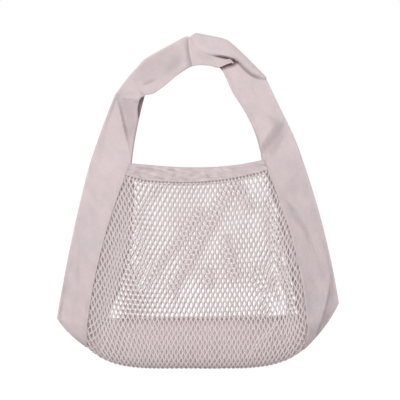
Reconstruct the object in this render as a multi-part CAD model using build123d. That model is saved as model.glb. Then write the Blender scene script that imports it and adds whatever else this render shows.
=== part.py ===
from build123d import *
import os
from math import copysign, cos, dist, hypot, pi, sin

# Mesh produce bag, hanging empty by its shoulder strap. Two netting panels are sewn to woven cloth, which
# makes the shoulder strap, the side panels that the strap runs down into, and the base.
# All sizes are in millimetres. +Z is up, +X is to the right of someone who faces the front, and +Y points
# to the back of the bag. The origin is under the middle of the bag, level with its lowest point.

# ---- cloth and sewing
cloth = 1.2                 # one layer of the woven cotton
net = 1.6                   # thickness of the knotted netting
tape = 1.8                  # folded tape over the raw edges of a seam
tape_width = 8.0
seam_gap = 0.8              # between pieces that are sewn edge to edge
press_gap = 0.3             # between layers that lie flat on each other
swing_gap = 0.6             # over the rounded tops of the side panels, which turn under the strap
tack_length = 9.0           # bar tacks at the four corners of the mouth
tack_width = 2.4
tack_thickness = 0.6
mesh_across = 12            # openings across each netting panel, a coarse stand-in for its fine mesh
mesh_rows = 9
mesh_open = 0.64            # share of a cell that its opening takes
mesh_margin = 6.0           # closed netting along every edge

# ---- heights above the lowest point
fold_height = 449.0         # where the strap bends when the bag swings
mouth_height_left = 335.0   # top edge of the mouth at its ends
mouth_height_right = 340.5
mouth_sag = 9.5             # the top edge hangs this far below its ends
band_end = 18.5             # height of the folded band at its ends
band_middle = 24.0          # and in its middle
toe_height_left = 33.0      # lowest end of each side seam
toe_height_right = 28.0
rear_height_left = 72.0     # seam between the base and the back netting, at its ends
rear_height_right = 79.0

# ---- depth
mouth_depth = 26.0          # between the outer faces of the netting at the mouth
front_depth = 36.0          # the netting's deepest place, in front of the middle
seam_depth = 29.0           # deepest place of the front side seams
rear_depth = 37.0           # rear seam of the base, behind the middle
base_edge = 8.0             # front seam of the base, in front of the middle
toe_depth = 2.0             # lowest end of each side seam, in front of the middle

# ---- distances from the middle: outer fold of the strap and of each side panel, down to the toe
fold_outer_left = 137.0
fold_outer_right = 124.5
mouth_outer_left = 179.0
mouth_outer_right = 173.0
corner_left = 232.5
corner_right = 232.5
corner_height_left = 81.0
corner_height_right = 106.0
toe_outer_left = 184.0
toe_outer_right = 174.0

# ---- distances from the middle: front seams, and above the mouth the inner edges of the strap
fold_inner_left = 87.5
fold_inner_right = 59.5
mouth_inner_left = 110.5
mouth_inner_right = 106.0
front_corner_left = 179.0
front_corner_right = 177.0
front_corner_height = 80.0
toe_left = 181.5
toe_right = 171.0

# ---- distances from the middle: lower ends of the rear seams
rear_left = 153.0
rear_right = 168.0

# ---- the arch of the strap over the hook or shoulder
# Each point is its place across the bag, and its height above the folds.
peak = (-5.0, 102.0)        # outer edge at the top
rest = (3.0, 49.0)          # inner edge under the top, where the bag hangs
lap_outer = (112.0, 29.5)   # the end of the left length, which laps over the front of the right length
lap_inner = (89.0, 31.0)
tip_outer = (66.0, 58.0)    # the end of the right length, behind it
tip_inner = (27.0, 48.0)

# ---- how far each stretch of these lines bows outward: to the mouth, to the corner, and to the toe
fold_bows_left = (4.0, 2.5, 5.0)
fold_bows_right = (3.5, 5.5, 6.0)
front_bows_left = (2.5, 9.0, 1.0)
front_bows_right = (8.5, 12.0, 4.0)
rear_bow_left = -17.0       # the rear seams have one stretch under the mouth
rear_bow_right = 7.5


# ---- curves


def bezier(a, b, c, d, t):
    """A point on the cubic curve with ends a and d and handles b and c."""
    return tuple(
        p * (1 - t) ** 3 + 3 * q * t * (1 - t) ** 2 + 3 * r * t * t * (1 - t) + s * t**3
        for p, q, r, s in zip(a, b, c, d)
    )


def mix(a, b, t):
    return a + (b - a) * t


def across(stops, height):
    """Distance from the middle at a height. Each stop is (height, distance, bow of the stretch above it)."""
    upper = stops[0]
    for lower in stops[1:]:
        if height >= lower[0] or lower is stops[-1]:
            break
        upper = lower
    t = (upper[0] - height) / (upper[0] - lower[0])
    return mix(upper[1], lower[1], t) + 4 * lower[2] * t * (1 - t)


class Side:
    """One side of the bag: its outer fold and its two seams, as distances from the middle."""

    def __init__(self, sign, mouth, toe, rear_toe, fold, front, rear):
        self.sign = sign
        self.mouth = mouth
        self.toe = toe
        self.rear_toe = rear_toe
        self.fold = fold
        self.front = front
        self.rear = rear

    def front_seam(self, v):
        """A point of the front seam, from the mouth at v = 0 to the toe at v = 1."""
        drop = self.mouth - self.toe
        y, z = bezier(
            (-mouth_depth / 2, self.mouth),
            (-mix(mouth_depth / 2, seam_depth, 0.5), self.mouth - drop * 0.5),
            (-seam_depth * 1.8, self.toe),
            (-toe_depth, self.toe),
            v,
        )
        return across(self.front, z), y, z

    def rear_seam(self, v):
        drop = self.mouth - self.rear_toe
        y, z = bezier(
            (mouth_depth / 2, self.mouth),
            (mix(mouth_depth / 2, rear_depth, 0.5), self.mouth - drop * 0.55),
            (rear_depth, self.rear_toe + drop * 0.05),
            (rear_depth, self.rear_toe),
            v,
        )
        return across(self.rear, z), y, z


def line_of(heights, distances, bows):
    """The stops of a line, whose first stop has no stretch above it."""
    return list(zip(heights, distances, (0,) + tuple(bows)))


left = Side(
    -1,
    mouth_height_left,
    toe_height_left,
    rear_height_left,
    line_of(
        (fold_height, mouth_height_left, corner_height_left, toe_height_left),
        (fold_outer_left, mouth_outer_left, corner_left, toe_outer_left),
        fold_bows_left,
    ),
    line_of(
        (fold_height, mouth_height_left, front_corner_height, toe_height_left),
        (fold_inner_left, mouth_inner_left, front_corner_left, toe_left),
        front_bows_left,
    ),
    line_of(
        (fold_height, mouth_height_left, rear_height_left),
        (fold_inner_left, mouth_inner_left, rear_left),
        (front_bows_left[0], rear_bow_left),
    ),
)
right = Side(
    1,
    mouth_height_right,
    toe_height_right,
    rear_height_right,
    line_of(
        (fold_height, mouth_height_right, corner_height_right, toe_height_right),
        (fold_outer_right, mouth_outer_right, corner_right, toe_outer_right),
        fold_bows_right,
    ),
    line_of(
        (fold_height, mouth_height_right, front_corner_height, toe_height_right),
        (fold_inner_right, mouth_inner_right, front_corner_right, toe_right),
        front_bows_right,
    ),
    line_of(
        (fold_height, mouth_height_right, rear_height_right),
        (fold_inner_right, mouth_inner_right, rear_right),
        (front_bows_right[0], rear_bow_right),
    ),
)
sides = {"left": left, "right": right}
pressed = cloth + press_gap / 2  # half the thickness of the folded strap


# ---- solids from flat sections


def closed_wire(points):
    return Wire.make_polygon([Vector(*p) for p in points], close=True)


def strip(sections):
    """A solid through flat sections with as many corners each, with straight lines between them."""
    return Solid.make_loft([closed_wire(s) for s in sections], ruled=True)


def offset_corner(a, b, c, depth):
    """The corner b of the line a-b-c, moved to its left by depth."""
    (ux, us), (vx, vs) = ((b[0] - a[0], b[1] - a[1]), (c[0] - b[0], c[1] - b[1]))
    u, v = hypot(ux, us), hypot(vx, vs)
    nu, nv = (-us / u, ux / u), (-vs / v, vx / v)
    share = depth / (1 + nu[0] * nv[0] + nu[1] * nv[1])
    return b[0] + (nu[0] + nv[0]) * share, b[1] + (nu[1] + nv[1]) * share


def offset_end(a, b, depth):
    """The end a of the line a-b, moved along the section's second axis until it is depth away from it."""
    return a[0], a[1] + depth * hypot(b[0] - a[0], b[1] - a[1]) / (b[0] - a[0])


def side_section(side, front, rear, fold_reach):
    """Cloth folded in two: front edge, outer fold and rear edge, in the plane that they share."""
    fx, fy, fz = front
    rx, ry, rz = rear
    length = hypot(ry - fy, rz - fz)
    dy, dz = (ry - fy) / length, (rz - fz) / length
    middle = -fy / dy
    outer = [(fx, 0), (fold_reach, middle - pressed), (fold_reach, middle + pressed), (rx, length)]
    inner = [
        offset_end(outer[0], outer[1], cloth),
        offset_corner(*outer[0:3], cloth),
        offset_corner(*outer[1:4], cloth),
        offset_end(outer[3], outer[2], -cloth),
    ]
    return [(side.sign * x, fy + s * dy, fz + s * dz) for x, s in outer + inner[::-1]]


def fold_line(side, front, rear):
    """Distance of the outer fold, where the plane through a front and a rear point meets the middle."""
    height = mix(front[2], rear[2], -front[1] / (rear[1] - front[1]))
    return across(side.fold, height)


def side_panel(side, upper_steps=5, lower_steps=20):
    """The strap's lower length and the side of the bag, as one folded strip."""
    sections = []
    for i in range(upper_steps):
        t = i / upper_steps
        z = mix(fold_height + pressed, side.mouth, t)
        y = mix(pressed, mouth_depth / 2, max(0, (fold_height - z) / (fold_height - side.mouth)))
        x = across(side.front, z)
        sections.append(side_section(side, (x, -y, z), (x, y, z), across(side.fold, z)))
    for i in range(lower_steps + 1):
        front, rear = side.front_seam(i / lower_steps), side.rear_seam(i / lower_steps)
        sections.append(side_section(side, front, rear, fold_line(side, front, rear)))
    reach = 4 * corner_left
    below = Pos(0, 0, fold_height / 2) * Box(reach, reach, fold_height)
    return strip(sections) & (below + knuckle(pressed))


# ---- netting and base, as thin sheets between their seams


def sheet(point, depth, columns=16, rows=18):
    """A thin solid. point(u, v) is its outer face, and its thickness goes inward."""
    grid = [[Vector(*point(i / columns, j / rows)) for j in range(rows + 1)] for i in range(columns + 1)]
    outer = Face.make_surface_from_array_of_points(grid, tol=0.1, min_deg=3, max_deg=3)
    return Solid.thicken(outer, depth)


def spread(a, b, centre, u, fullness):
    """A point between the left point a and the right point b, drawn to the centre's depth and height."""
    swell = 1 - abs(2 * u - 1) ** fullness
    y = mix(mix(a[1], b[1], u), centre[0], swell)
    z = mix(mix(a[2], b[2], u), centre[1], swell)
    return mix(-a[0] + seam_gap, b[0] - seam_gap, u), y, z


mouth_middle = (mouth_height_left + mouth_height_right) / 2 - mouth_sag
rear_middle = (rear_height_left + rear_height_right) / 2


def front_point(u, v):
    """The outer face of the front netting, from the mouth at v = 0, under the bag to the base at v = 1."""
    centre = bezier(
        (-mouth_depth / 2, mouth_middle),
        (-mix(mouth_depth / 2, front_depth, 0.5), mouth_middle * 0.5),
        (-front_depth * 1.75, 0),
        (-base_edge, 0),
        v,
    )
    return spread(left.front_seam(v), right.front_seam(v), centre, u, mix(2, 5, v))


def rear_point(u, v):
    """The outer face of the back netting, from the mouth at v = 0 down to the base at v = 1."""
    centre = bezier(
        (mouth_depth / 2, mouth_middle),
        (mix(mouth_depth / 2, rear_depth, 0.5), mix(mouth_middle, rear_middle, 0.55)),
        (rear_depth, mix(mouth_middle, rear_middle, 0.95)),
        (rear_depth, rear_middle),
        v,
    )
    return spread(left.rear_seam(v), right.rear_seam(v), centre, u, 2)


def base_point(u, v):
    """The outer face of the base, from its front seam at v = 0 back and up to its rear seam at v = 1."""
    swell = 1 - abs(2 * u - 1) ** 5
    front, rear = front_point(u, 1), rear_point(u, 1)
    turn = v * pi / 2
    y = mix(front[1], rear[1], mix(v, sin(turn), swell))
    z = mix(front[2], rear[2], mix(v, 1 - cos(turn), swell))
    return mix(front[0], rear[0], v), y, z


def share_from(point, u, edge, distance):
    """How far along a sheet its line u is a given distance from its top edge (0) or its lower edge (1)."""
    near, far = edge, 1 - edge
    for _ in range(24):
        middle = (near + far) / 2
        if dist(point(u, edge), point(u, middle)) < distance:
            near = middle
        else:
            far = middle
    return near


def netting(point):
    """Netting from just under the fold of the mouth band down to its seam with the base."""

    def trimmed(u, v):
        top = share_from(point, u, 0, cloth + press_gap)
        return point(u, mix(top, share_from(point, u, 1, seam_gap / 2), v))

    return trimmed


def mesh_openings(point, top, bottom):
    """Diamond openings in staggered rows between two lines of a netting panel, each a prism along Y."""
    cutters = []
    step = (bottom - top) / (mesh_rows + 1)
    margin = mesh_margin / dist(point(0, bottom), point(1, bottom))
    pitch = (1 - 2 * margin) / mesh_across
    for j in range(mesh_rows):
        v = top + step * (j + 1)
        for i in range(mesh_across - j % 2):
            u = margin + pitch * (i + (0.5 if j % 2 == 0 else 1.0))
            half = pitch * mesh_open * 0.5
            a, b = point(u - half, v), point(u + half, v)
            c, d = point(u, v - step * mesh_open), point(u, v + step * mesh_open)
            near = min(p[1] for p in (a, b, c, d)) - 2 * net
            far = max(p[1] for p in (a, b, c, d)) + 2 * net
            corners = [(p[0], near, p[2]) for p in (a, c, b, d)]
            cutters.append(extrude(Face(closed_wire(corners)), far - near, dir=(0, 1, 0)))
    return cutters


def trimmed_base(u, v):
    """The base, cut back from its seams, and more at its ends, where it meets the other pieces on edge."""
    end = abs(2 * u - 1) ** 8
    ease = (seam_gap / 2 + cloth * end) / (rear_depth + base_edge)
    x, y, z = base_point(u, mix(ease, 1 - ease, v))
    return x - copysign(1.5 * cloth * end * v**4, x), y, z


# ---- the folded bands of the mouth, and the bar tacks on their ends


def band_frame(point, u):
    """The lower and upper ends of the band's section at u, as points on the netting's outer face."""
    height = mix(band_end, band_middle, 4 * u * (1 - u))
    return point(u, share_from(point, u, 0, height)), point(u, 0)


def band_section(point, inward, u, outline):
    """A flat section of the band. The outline gives depth from the netting's outer face, and height."""
    low, high = band_frame(point, u)
    length = dist(low, high)
    corners = []
    for depth, height in outline(length):
        x, y, z = (mix(a, b, height / length) for a, b in zip(low, high))
        corners.append((x, y + inward * depth, z))
    return corners


outer_layer = -(press_gap + cloth)
inner_layer = net + press_gap + cloth


def band_outline(length):
    """Cloth folded over the top edge of the netting."""
    return [
        (outer_layer, 0),
        (-press_gap, 0),
        (-press_gap, length - cloth),
        (net + press_gap, length - cloth),
        (net + press_gap, 0),
        (inner_layer, 0),
        (inner_layer, length),
        (outer_layer, length),
    ]


def tack_outline(length):
    low, high = (length - tack_length) / 2, (length + tack_length) / 2
    near, far = outer_layer - press_gap, outer_layer - press_gap - tack_thickness
    return [(far, low), (near, low), (near, high), (far, high)]


def mouth_band(point, inward, steps=14):
    return strip([band_section(point, inward, i / steps, band_outline) for i in range(steps + 1)])


mouth_width = mouth_inner_left + mouth_inner_right


def corner_tacks():
    """A short bar of close stitches on each end of both bands."""
    tacks = []
    start = tack_width / mouth_width
    for point, inward in ((front_point, 1), (rear_point, -1)):
        for a, b in ((start, 2 * start), (1 - 2 * start, 1 - start)):
            tacks.append(strip([band_section(point, inward, u, tack_outline) for u in (a, b)]))
    return Compound(tacks)


# ---- taped seams inside the bag, each a stiff fin on its seam's raw edges

fin_start = net + 3 * press_gap
side_tape_top = band_middle + 2.0   # the tapes start under the mouth band
side_tape_ends = {"front": 0.72, "back": 0.8}   # share of each seam at which its tape ends
base_tape_inset = 0.08


def side_tape(side, place, steps=14):
    """The tape along a side seam, which points straight into the bag."""
    seam, inward = (side.front_seam, 1) if place == "front" else (side.rear_seam, -1)
    start = side_tape_top / (1.5 * (side.mouth - side.toe))
    sections = []
    for i in range(steps + 1):
        x, y, z = seam(mix(start, side_tape_ends[place], i / steps))
        near, far = y + inward * fin_start, y + inward * (fin_start + tape_width)
        middle = x - seam_gap / 2
        inner, outer = side.sign * (middle - tape / 2), side.sign * (middle + tape / 2)
        sections.append([(inner, near, z), (outer, near, z), (outer, far, z), (inner, far, z)])
    return strip(sections)


def base_tape(place, steps=14):
    """The tape along a seam of the base: upright at the front, and level at the back."""
    sections = []
    for i in range(steps + 1):
        u = mix(base_tape_inset, 1 - base_tape_inset, i / steps)
        if place == "front":
            x, y, z = front_point(u, 1)
            span = ((y - tape / 2, y + tape / 2), (z + fin_start, z + fin_start + tape_width))
        else:
            x, y, z = rear_point(u, 1)
            span = ((y - fin_start - tape_width, y - fin_start), (z - tape / 2, z + tape / 2))
        (y0, y1), (z0, z1) = span
        sections.append([(x, y0, z0), (x, y1, z0), (x, y1, z1), (x, y0, z1)])
    return strip(sections)


# ---- the strap over the shoulder: two pressed lengths, the left one lapped over the front of the right one


def fold_section(inner, outer, y):
    """Cloth pressed flat in two, with its fold on the outer edge of the arch."""
    (x0, z0), (x1, z1) = inner, outer
    width = hypot(x1 - x0, z1 - z0)
    half = press_gap / 2
    outline = [(0, -pressed), (width, -pressed), (width, pressed), (0, pressed)]
    outline += [(0, half), (width - cloth, half), (width - cloth, -half), (0, -half)]
    return [(mix(x0, x1, a / width), y + b, fold_height + mix(z0, z1, a / width)) for a, b in outline]


lap_depth = 2 * pressed + press_gap
foot_outer_left, foot_inner_left = (-fold_outer_left, 0), (-fold_inner_left, 0)
foot_outer_right, foot_inner_right = (fold_outer_right, 0), (fold_inner_right, 0)


def moved(point, dx, dz):
    return point[0] + dx, point[1] + dz


def arch(outer, inner, depth, steps=10):
    sections = []
    for i in range(steps + 1):
        t = i / steps
        sections.append(fold_section(bezier(*inner, t), bezier(*outer, t), depth(t)))
    return sections


def left_strap():
    """From the left fold up over the rest and down to the lap, where it lies in front."""
    rise = arch(
        [foot_outer_left, moved(foot_outer_left, 19, 39), moved(peak, -57, -15), peak],
        [foot_inner_left, moved(foot_inner_left, 27, 0), moved(rest, -43, 0), rest],
        lambda t: 0,
    )
    fall = arch(
        [peak, moved(peak, 37, 1), moved(lap_outer, -40, 48), lap_outer],
        [rest, moved(rest, 25, 10), moved(lap_inner, -23, 28), lap_inner],
        lambda t: -lap_depth * min(1, t / 0.2),
    )
    return strip(rise + fall[1:])


def right_strap():
    """From the right fold up to its end behind the lap."""
    rise = arch(
        [foot_outer_right, moved(foot_outer_right, -4, 21), moved(tip_outer, 34, -7), tip_outer],
        [foot_inner_right, moved(foot_inner_right, -5, 17), moved(tip_inner, 15, -9), tip_inner],
        lambda t: 0,
    )
    return strip(rise)


def lap_tacks():
    """Two bar tacks on the front of the lap, which hold the two lengths of the strap together."""
    tacks = []
    y = -lap_depth - pressed - press_gap - tack_thickness / 2
    for share in (0.3, 0.7):
        x, z = (mix(a, b, share) for a, b in zip(tip_inner, lap_outer))
        place = Pos(x, y, fold_height + z + tack_length) * Rot(0, 45, 0)
        tacks.append(place * Box(tack_length, tack_thickness, tack_width))
    return Compound(tacks)


def knuckle(radius):
    return Pos(0, 0, fold_height) * Rot(0, 90, 0) * Cylinder(radius, 4 * corner_left)


def cleared(strap):
    """The strap with room under it for the rounded tops of the side panels to turn."""
    return strap - knuckle(pressed + swing_gap)


mesh_top = {"front": 0.05, "back": 0.07}      # share of each panel's height where the openings start
mesh_bottom = {"front": 0.74, "back": 0.95}   # and end

# ---- colours and files

LILAC = 0xCDBFC1
LILAC_LIGHT = 0xD8CBCB
LILAC_NET = 0xD6CBCB
LILAC_TAPE = 0xC8B9BA
THREAD = 0xC3B2B5

parts = {}


def add(name, shape, colour):
    shape.label = name
    shape.color = Color(colour)
    parts[name] = shape


for name, side in sides.items():
    add(f"side_panel_{name}", side_panel(side), LILAC)
    for place in ("front", "back"):
        add(f"seam_tape_{place}_{name}", side_tape(side, place), LILAC_TAPE)
for place, point, inward in (("front", front_point, 1), ("back", rear_point, -1)):
    solid = sheet(netting(point), inward * net)
    solid = solid - mesh_openings(point, mesh_top[place], mesh_bottom[place])
    add(f"netting_{place}", solid, LILAC_NET)
    add(f"mouth_band_{place}", mouth_band(point, inward), LILAC_LIGHT)
    add(f"base_tape_{place}", base_tape(place), LILAC_TAPE)
add("base_panel", sheet(trimmed_base, cloth), LILAC)
add("mouth_corner_tacks", corner_tacks(), THREAD)
add("strap_left", cleared(left_strap()), LILAC_LIGHT)
add("strap_right", cleared(right_strap()), LILAC)
add("strap_lap_tacks", lap_tacks(), THREAD)

os.makedirs("parts", exist_ok=True)
for name, shape in parts.items():
    export_step(shape, f"parts/{name}.step")
    print(name, shape.is_valid, round(shape.volume, 1))
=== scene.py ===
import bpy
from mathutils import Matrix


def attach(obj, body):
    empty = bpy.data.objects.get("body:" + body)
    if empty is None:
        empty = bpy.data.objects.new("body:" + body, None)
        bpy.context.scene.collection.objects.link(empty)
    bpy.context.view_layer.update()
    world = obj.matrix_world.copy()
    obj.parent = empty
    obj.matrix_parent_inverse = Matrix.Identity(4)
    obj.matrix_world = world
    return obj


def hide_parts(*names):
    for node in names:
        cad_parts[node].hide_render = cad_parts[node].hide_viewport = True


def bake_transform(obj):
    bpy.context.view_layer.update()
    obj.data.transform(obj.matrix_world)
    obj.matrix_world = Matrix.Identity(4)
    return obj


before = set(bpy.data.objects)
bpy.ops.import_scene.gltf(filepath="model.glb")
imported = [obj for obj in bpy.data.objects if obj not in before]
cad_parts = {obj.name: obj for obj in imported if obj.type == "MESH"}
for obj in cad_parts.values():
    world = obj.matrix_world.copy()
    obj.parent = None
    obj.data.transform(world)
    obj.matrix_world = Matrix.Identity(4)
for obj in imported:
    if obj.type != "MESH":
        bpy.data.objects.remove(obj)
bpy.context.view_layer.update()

import math

import bpy
from mathutils import Vector, noise

# Lengths are worked out in millimetres and become metres when a mesh is made.
# +X is to the right of someone facing the front, -Y is towards them, +Z is up.

bag = {
    "foldHeight": 449.0,    # where the strap bends
    "mouthSag": 9.5,
    # height of the mouth band, at shares of its length from the left
    "bandHeight": [(0, 20), (0.05, 22.4), (0.12, 24.8), (0.3, 24.6), (0.5, 23.4), (0.63, 21.6), (0.8, 19.5),
                   (1, 17)],
    "mouthDepth": 26.0,
    "frontDepth": 36.0,
    "seamDepth": 29.0,
    "rearDepth": 37.0,
    "baseEdge": 8.0,
    "toeDepth": 2.0,
    "seamGap": 0.8,
    "net": 1.6,             # thickness of the netting
    "cloth": 1.1,           # thickness of one layer of woven cotton
}

# Each line down a side is (height, distance from the middle, bow of the stretch above).
left = {
    "sign": -1, "mouth": 335.0, "toe": 33.0, "rearToe": 72.0,
    "fold": [(449, 137, 0), (335, 178.5, 1.2), (81, 232.5, 3), (33, 184, 5)],
    "front": [(449, 87.5, 0), (335, 110.5, 2.5), (80, 179, 9), (33, 181.5, 1)],
    "rear": [(449, 87.5, 0), (335, 110.5, 2.5), (72, 153, -17)],
}
right = {
    "sign": 1, "mouth": 340.5, "toe": 28.0, "rearToe": 79.0,
    "fold": [(449, 125, 0), (402, 148, 0), (340.5, 173, 1.5), (106, 232.5, 5.5), (28, 174, 6)],
    "front": [(449, 59.5, 0), (340.5, 106, 8.5), (80, 177, 12), (28, 171, 4)],
    "rear": [(449, 59.5, 0), (340.5, 106, 8.5), (79, 168, 7.5)],
}


# Curves and surfaces of the bag.

def mix(a, b, t):
    return a + (b - a) * t


def smooth(t):
    t = min(1.0, max(0.0, t))
    return t * t * (3 - 2 * t)


def bezier(a, b, c, d, t):
    return tuple(
        p * (1 - t) ** 3 + 3 * q * t * (1 - t) ** 2 + 3 * r * t * t * (1 - t) + s * t**3
        for p, q, r, s in zip(a, b, c, d)
    )


def across(stops, height):
    upper = stops[0]
    for lower in stops[1:]:
        if height >= lower[0] or lower is stops[-1]:
            break
        upper = lower
    t = (upper[0] - height) / (upper[0] - lower[0])
    return mix(upper[1], lower[1], t) + 4 * lower[2] * t * (1 - t)


def frontSeam(side, v):
    half, drop = bag["mouthDepth"] / 2, side["mouth"] - side["toe"]
    y, z = bezier(
        (-half, side["mouth"]),
        (-mix(half, bag["seamDepth"], 0.5), side["mouth"] - drop * 0.5),
        (-bag["seamDepth"] * 1.8, side["toe"]),
        (-bag["toeDepth"], side["toe"]), v)
    return Vector((side["sign"] * across(side["front"], z), y, z))


def rearSeam(side, v):
    half, drop = bag["mouthDepth"] / 2, side["mouth"] - side["rearToe"]
    y, z = bezier(
        (half, side["mouth"]),
        (mix(half, bag["rearDepth"], 0.5), side["mouth"] - drop * 0.55),
        (bag["rearDepth"], side["rearToe"] + drop * 0.05),
        (bag["rearDepth"], side["rearToe"]), v)
    return Vector((side["sign"] * across(side["rear"], z), y, z))


mouthMiddle = (left["mouth"] + right["mouth"]) / 2 - bag["mouthSag"]
rearMiddle = (left["rearToe"] + right["rearToe"]) / 2


def spread(a, b, centre, u, fullness):
    swell = 1 - abs(2 * u - 1) ** fullness
    y = mix(mix(a.y, b.y, u), centre[0], swell)
    z = mix(mix(a.z, b.z, u), centre[1], swell)
    return Vector((mix(a.x + bag["seamGap"], b.x - bag["seamGap"], u), y, z))


def frontPoint(u, v):
    half = bag["mouthDepth"] / 2
    centre = bezier((-half, mouthMiddle), (-mix(half, bag["frontDepth"], 0.5), mouthMiddle * 0.5),
                    (-bag["frontDepth"] * 1.75, 0), (-bag["baseEdge"], 0), v)
    return spread(frontSeam(left, v), frontSeam(right, v), centre, u, mix(2, 5, v))


def rearPoint(u, v):
    half, deep = bag["mouthDepth"] / 2, bag["rearDepth"]
    centre = bezier((half, mouthMiddle), (mix(half, deep, 0.5), mix(mouthMiddle, rearMiddle, 0.55)),
                    (deep, mix(mouthMiddle, rearMiddle, 0.95)), (deep, rearMiddle), v)
    return spread(rearSeam(left, v), rearSeam(right, v), centre, u, 2)


def basePoint(u, v):
    swell = 1 - abs(2 * u - 1) ** 5
    front, rear, turn = frontPoint(u, 1), rearPoint(u, 1), v * math.pi / 2
    return Vector((mix(front.x, rear.x, v),
                   mix(front.y, rear.y, mix(v, math.sin(turn), swell)),
                   mix(front.z, rear.z, mix(v, 1 - math.cos(turn), swell))))


def shareFrom(point, u, edge, distance):
    near, far = edge, 1 - edge
    for _ in range(20):
        middle = (near + far) / 2
        if (point(u, edge) - point(u, middle)).length < distance:
            near = middle
        else:
            far = middle
    return near


def bandHeight(u):
    stops = bag["bandHeight"]
    for (u0, h0), (u1, h1) in zip(stops, stops[1:]):
        if u <= u1:
            break
    return mix(h0, h1, (u - u0) / (u1 - u0))


def spline(points, t, straight=0.0):
    scaled = min(max(t, 0), 1) * (len(points) - 1)
    i = min(int(scaled), len(points) - 2)
    s = scaled - i
    a, b, c, d = (Vector(points[min(max(k, 0), len(points) - 1)]) for k in (i - 1, i, i + 1, i + 2))
    bow, twist = 2 * a - 5 * b + 4 * c - d, 3 * b - a - 3 * c + d
    curved = 0.5 * ((2 * b) + (c - a) * s + bow * s**2 + twist * s**3)
    return curved.lerp(b.lerp(c, s), straight)


# Meshes, nodes and colours.

def addObject(name, data):
    item = bpy.data.objects.new(name, data)
    bpy.context.scene.collection.objects.link(item)
    return item


def addValues(mesh, name, values):
    mesh.attributes.new(name, "FLOAT", "POINT").data.foreach_set("value", values)


def makeMesh(name, points, faces, material, weave=None, wear=None, shade=None):
    mesh = bpy.data.meshes.new(name)
    mesh.from_pydata([Vector(p) * 0.001 for p in points], [], faces)
    if weave:
        layer = mesh.uv_layers.new(name="weave")
        for loop in mesh.loops:
            layer.data[loop.index].uv = [k * 0.001 for k in weave[loop.vertex_index]]
    for label, values in (("wear", wear), ("shade", shade)):
        if values:
            addValues(mesh, label, values)
    mesh.materials.append(material)
    mesh.polygons.foreach_set("use_smooth", [True] * len(mesh.polygons))
    return addObject(name, mesh)


def gridFaces(rows, columns, flip=False):
    faces = []
    for i in range(rows - 1):
        for j in range(columns - 1):
            a = i * columns + j
            face = (a, a + 1, a + 1 + columns, a + columns)
            faces.append(face[::-1] if flip else face)
    return faces


def thicken(piece, depth):
    wall = piece.modifiers.new("thickness", "SOLIDIFY")
    wall.thickness, wall.offset, wall.use_even_offset = depth * 0.001, -1, False
    return settle(piece)


def settle(piece):
    graph = bpy.context.evaluated_depsgraph_get()
    mesh = bpy.data.meshes.new_from_object(piece.evaluated_get(graph), preserve_all_data_layers=True,
                                           depsgraph=graph)
    piece.modifiers.clear()
    piece.data = mesh
    return piece


def colour(hexValue):
    parts = [((hexValue >> shift) & 255) / 255 for shift in (16, 8, 0)]
    return (*[p / 12.92 if p <= 0.04045 else ((p + 0.055) / 1.055) ** 2.4 for p in parts], 1.0)


def setInputs(tree, node, inputs):
    for key, value in inputs.items():
        if isinstance(value, bpy.types.NodeSocket):
            tree.links.new(value, node.inputs[key])
        else:
            node.inputs[key].default_value = value


def addNode(tree, kind, inputs=None, **settings):
    node = tree.nodes.new(kind)
    for key, value in settings.items():
        setattr(node, key, value)
    setInputs(tree, node, inputs or {})
    return node


def result(tree, kind, inputs=None, **settings):
    return addNode(tree, kind, inputs, **settings).outputs[0]


def calc(tree, operation, *values):
    return result(tree, "ShaderNodeMath", dict(enumerate(values)), operation=operation)


def ranged(tree, value, low, high, start, end):
    return result(tree, "ShaderNodeMapRange", {0: value, 1: low, 2: high, 3: start, 4: end})


def attribute(tree, name):
    return addNode(tree, "ShaderNodeAttribute", attribute_name=name).outputs["Fac"]


def cloud(tree, vector, scale, detail, **more):
    return result(tree, "ShaderNodeTexNoise", {"Vector": vector, "Scale": scale, "Detail": detail, **more})


def stretched(tree, vector, scale):
    return result(tree, "ShaderNodeMapping", {"Vector": vector, "Scale": scale})


def dyed(tree, share, finish):
    return addNode(tree, "ShaderNodeMix", {0: share, 6: colour(finish["cool"]), 7: colour(finish["warm"])},
                   data_type="RGBA").outputs[2]


def startMaterial(name):
    material = bpy.data.materials.new(name)
    material.use_nodes = True
    tree = material.node_tree
    return material, tree, tree.nodes["Principled BSDF"]


# Materials.

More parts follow.
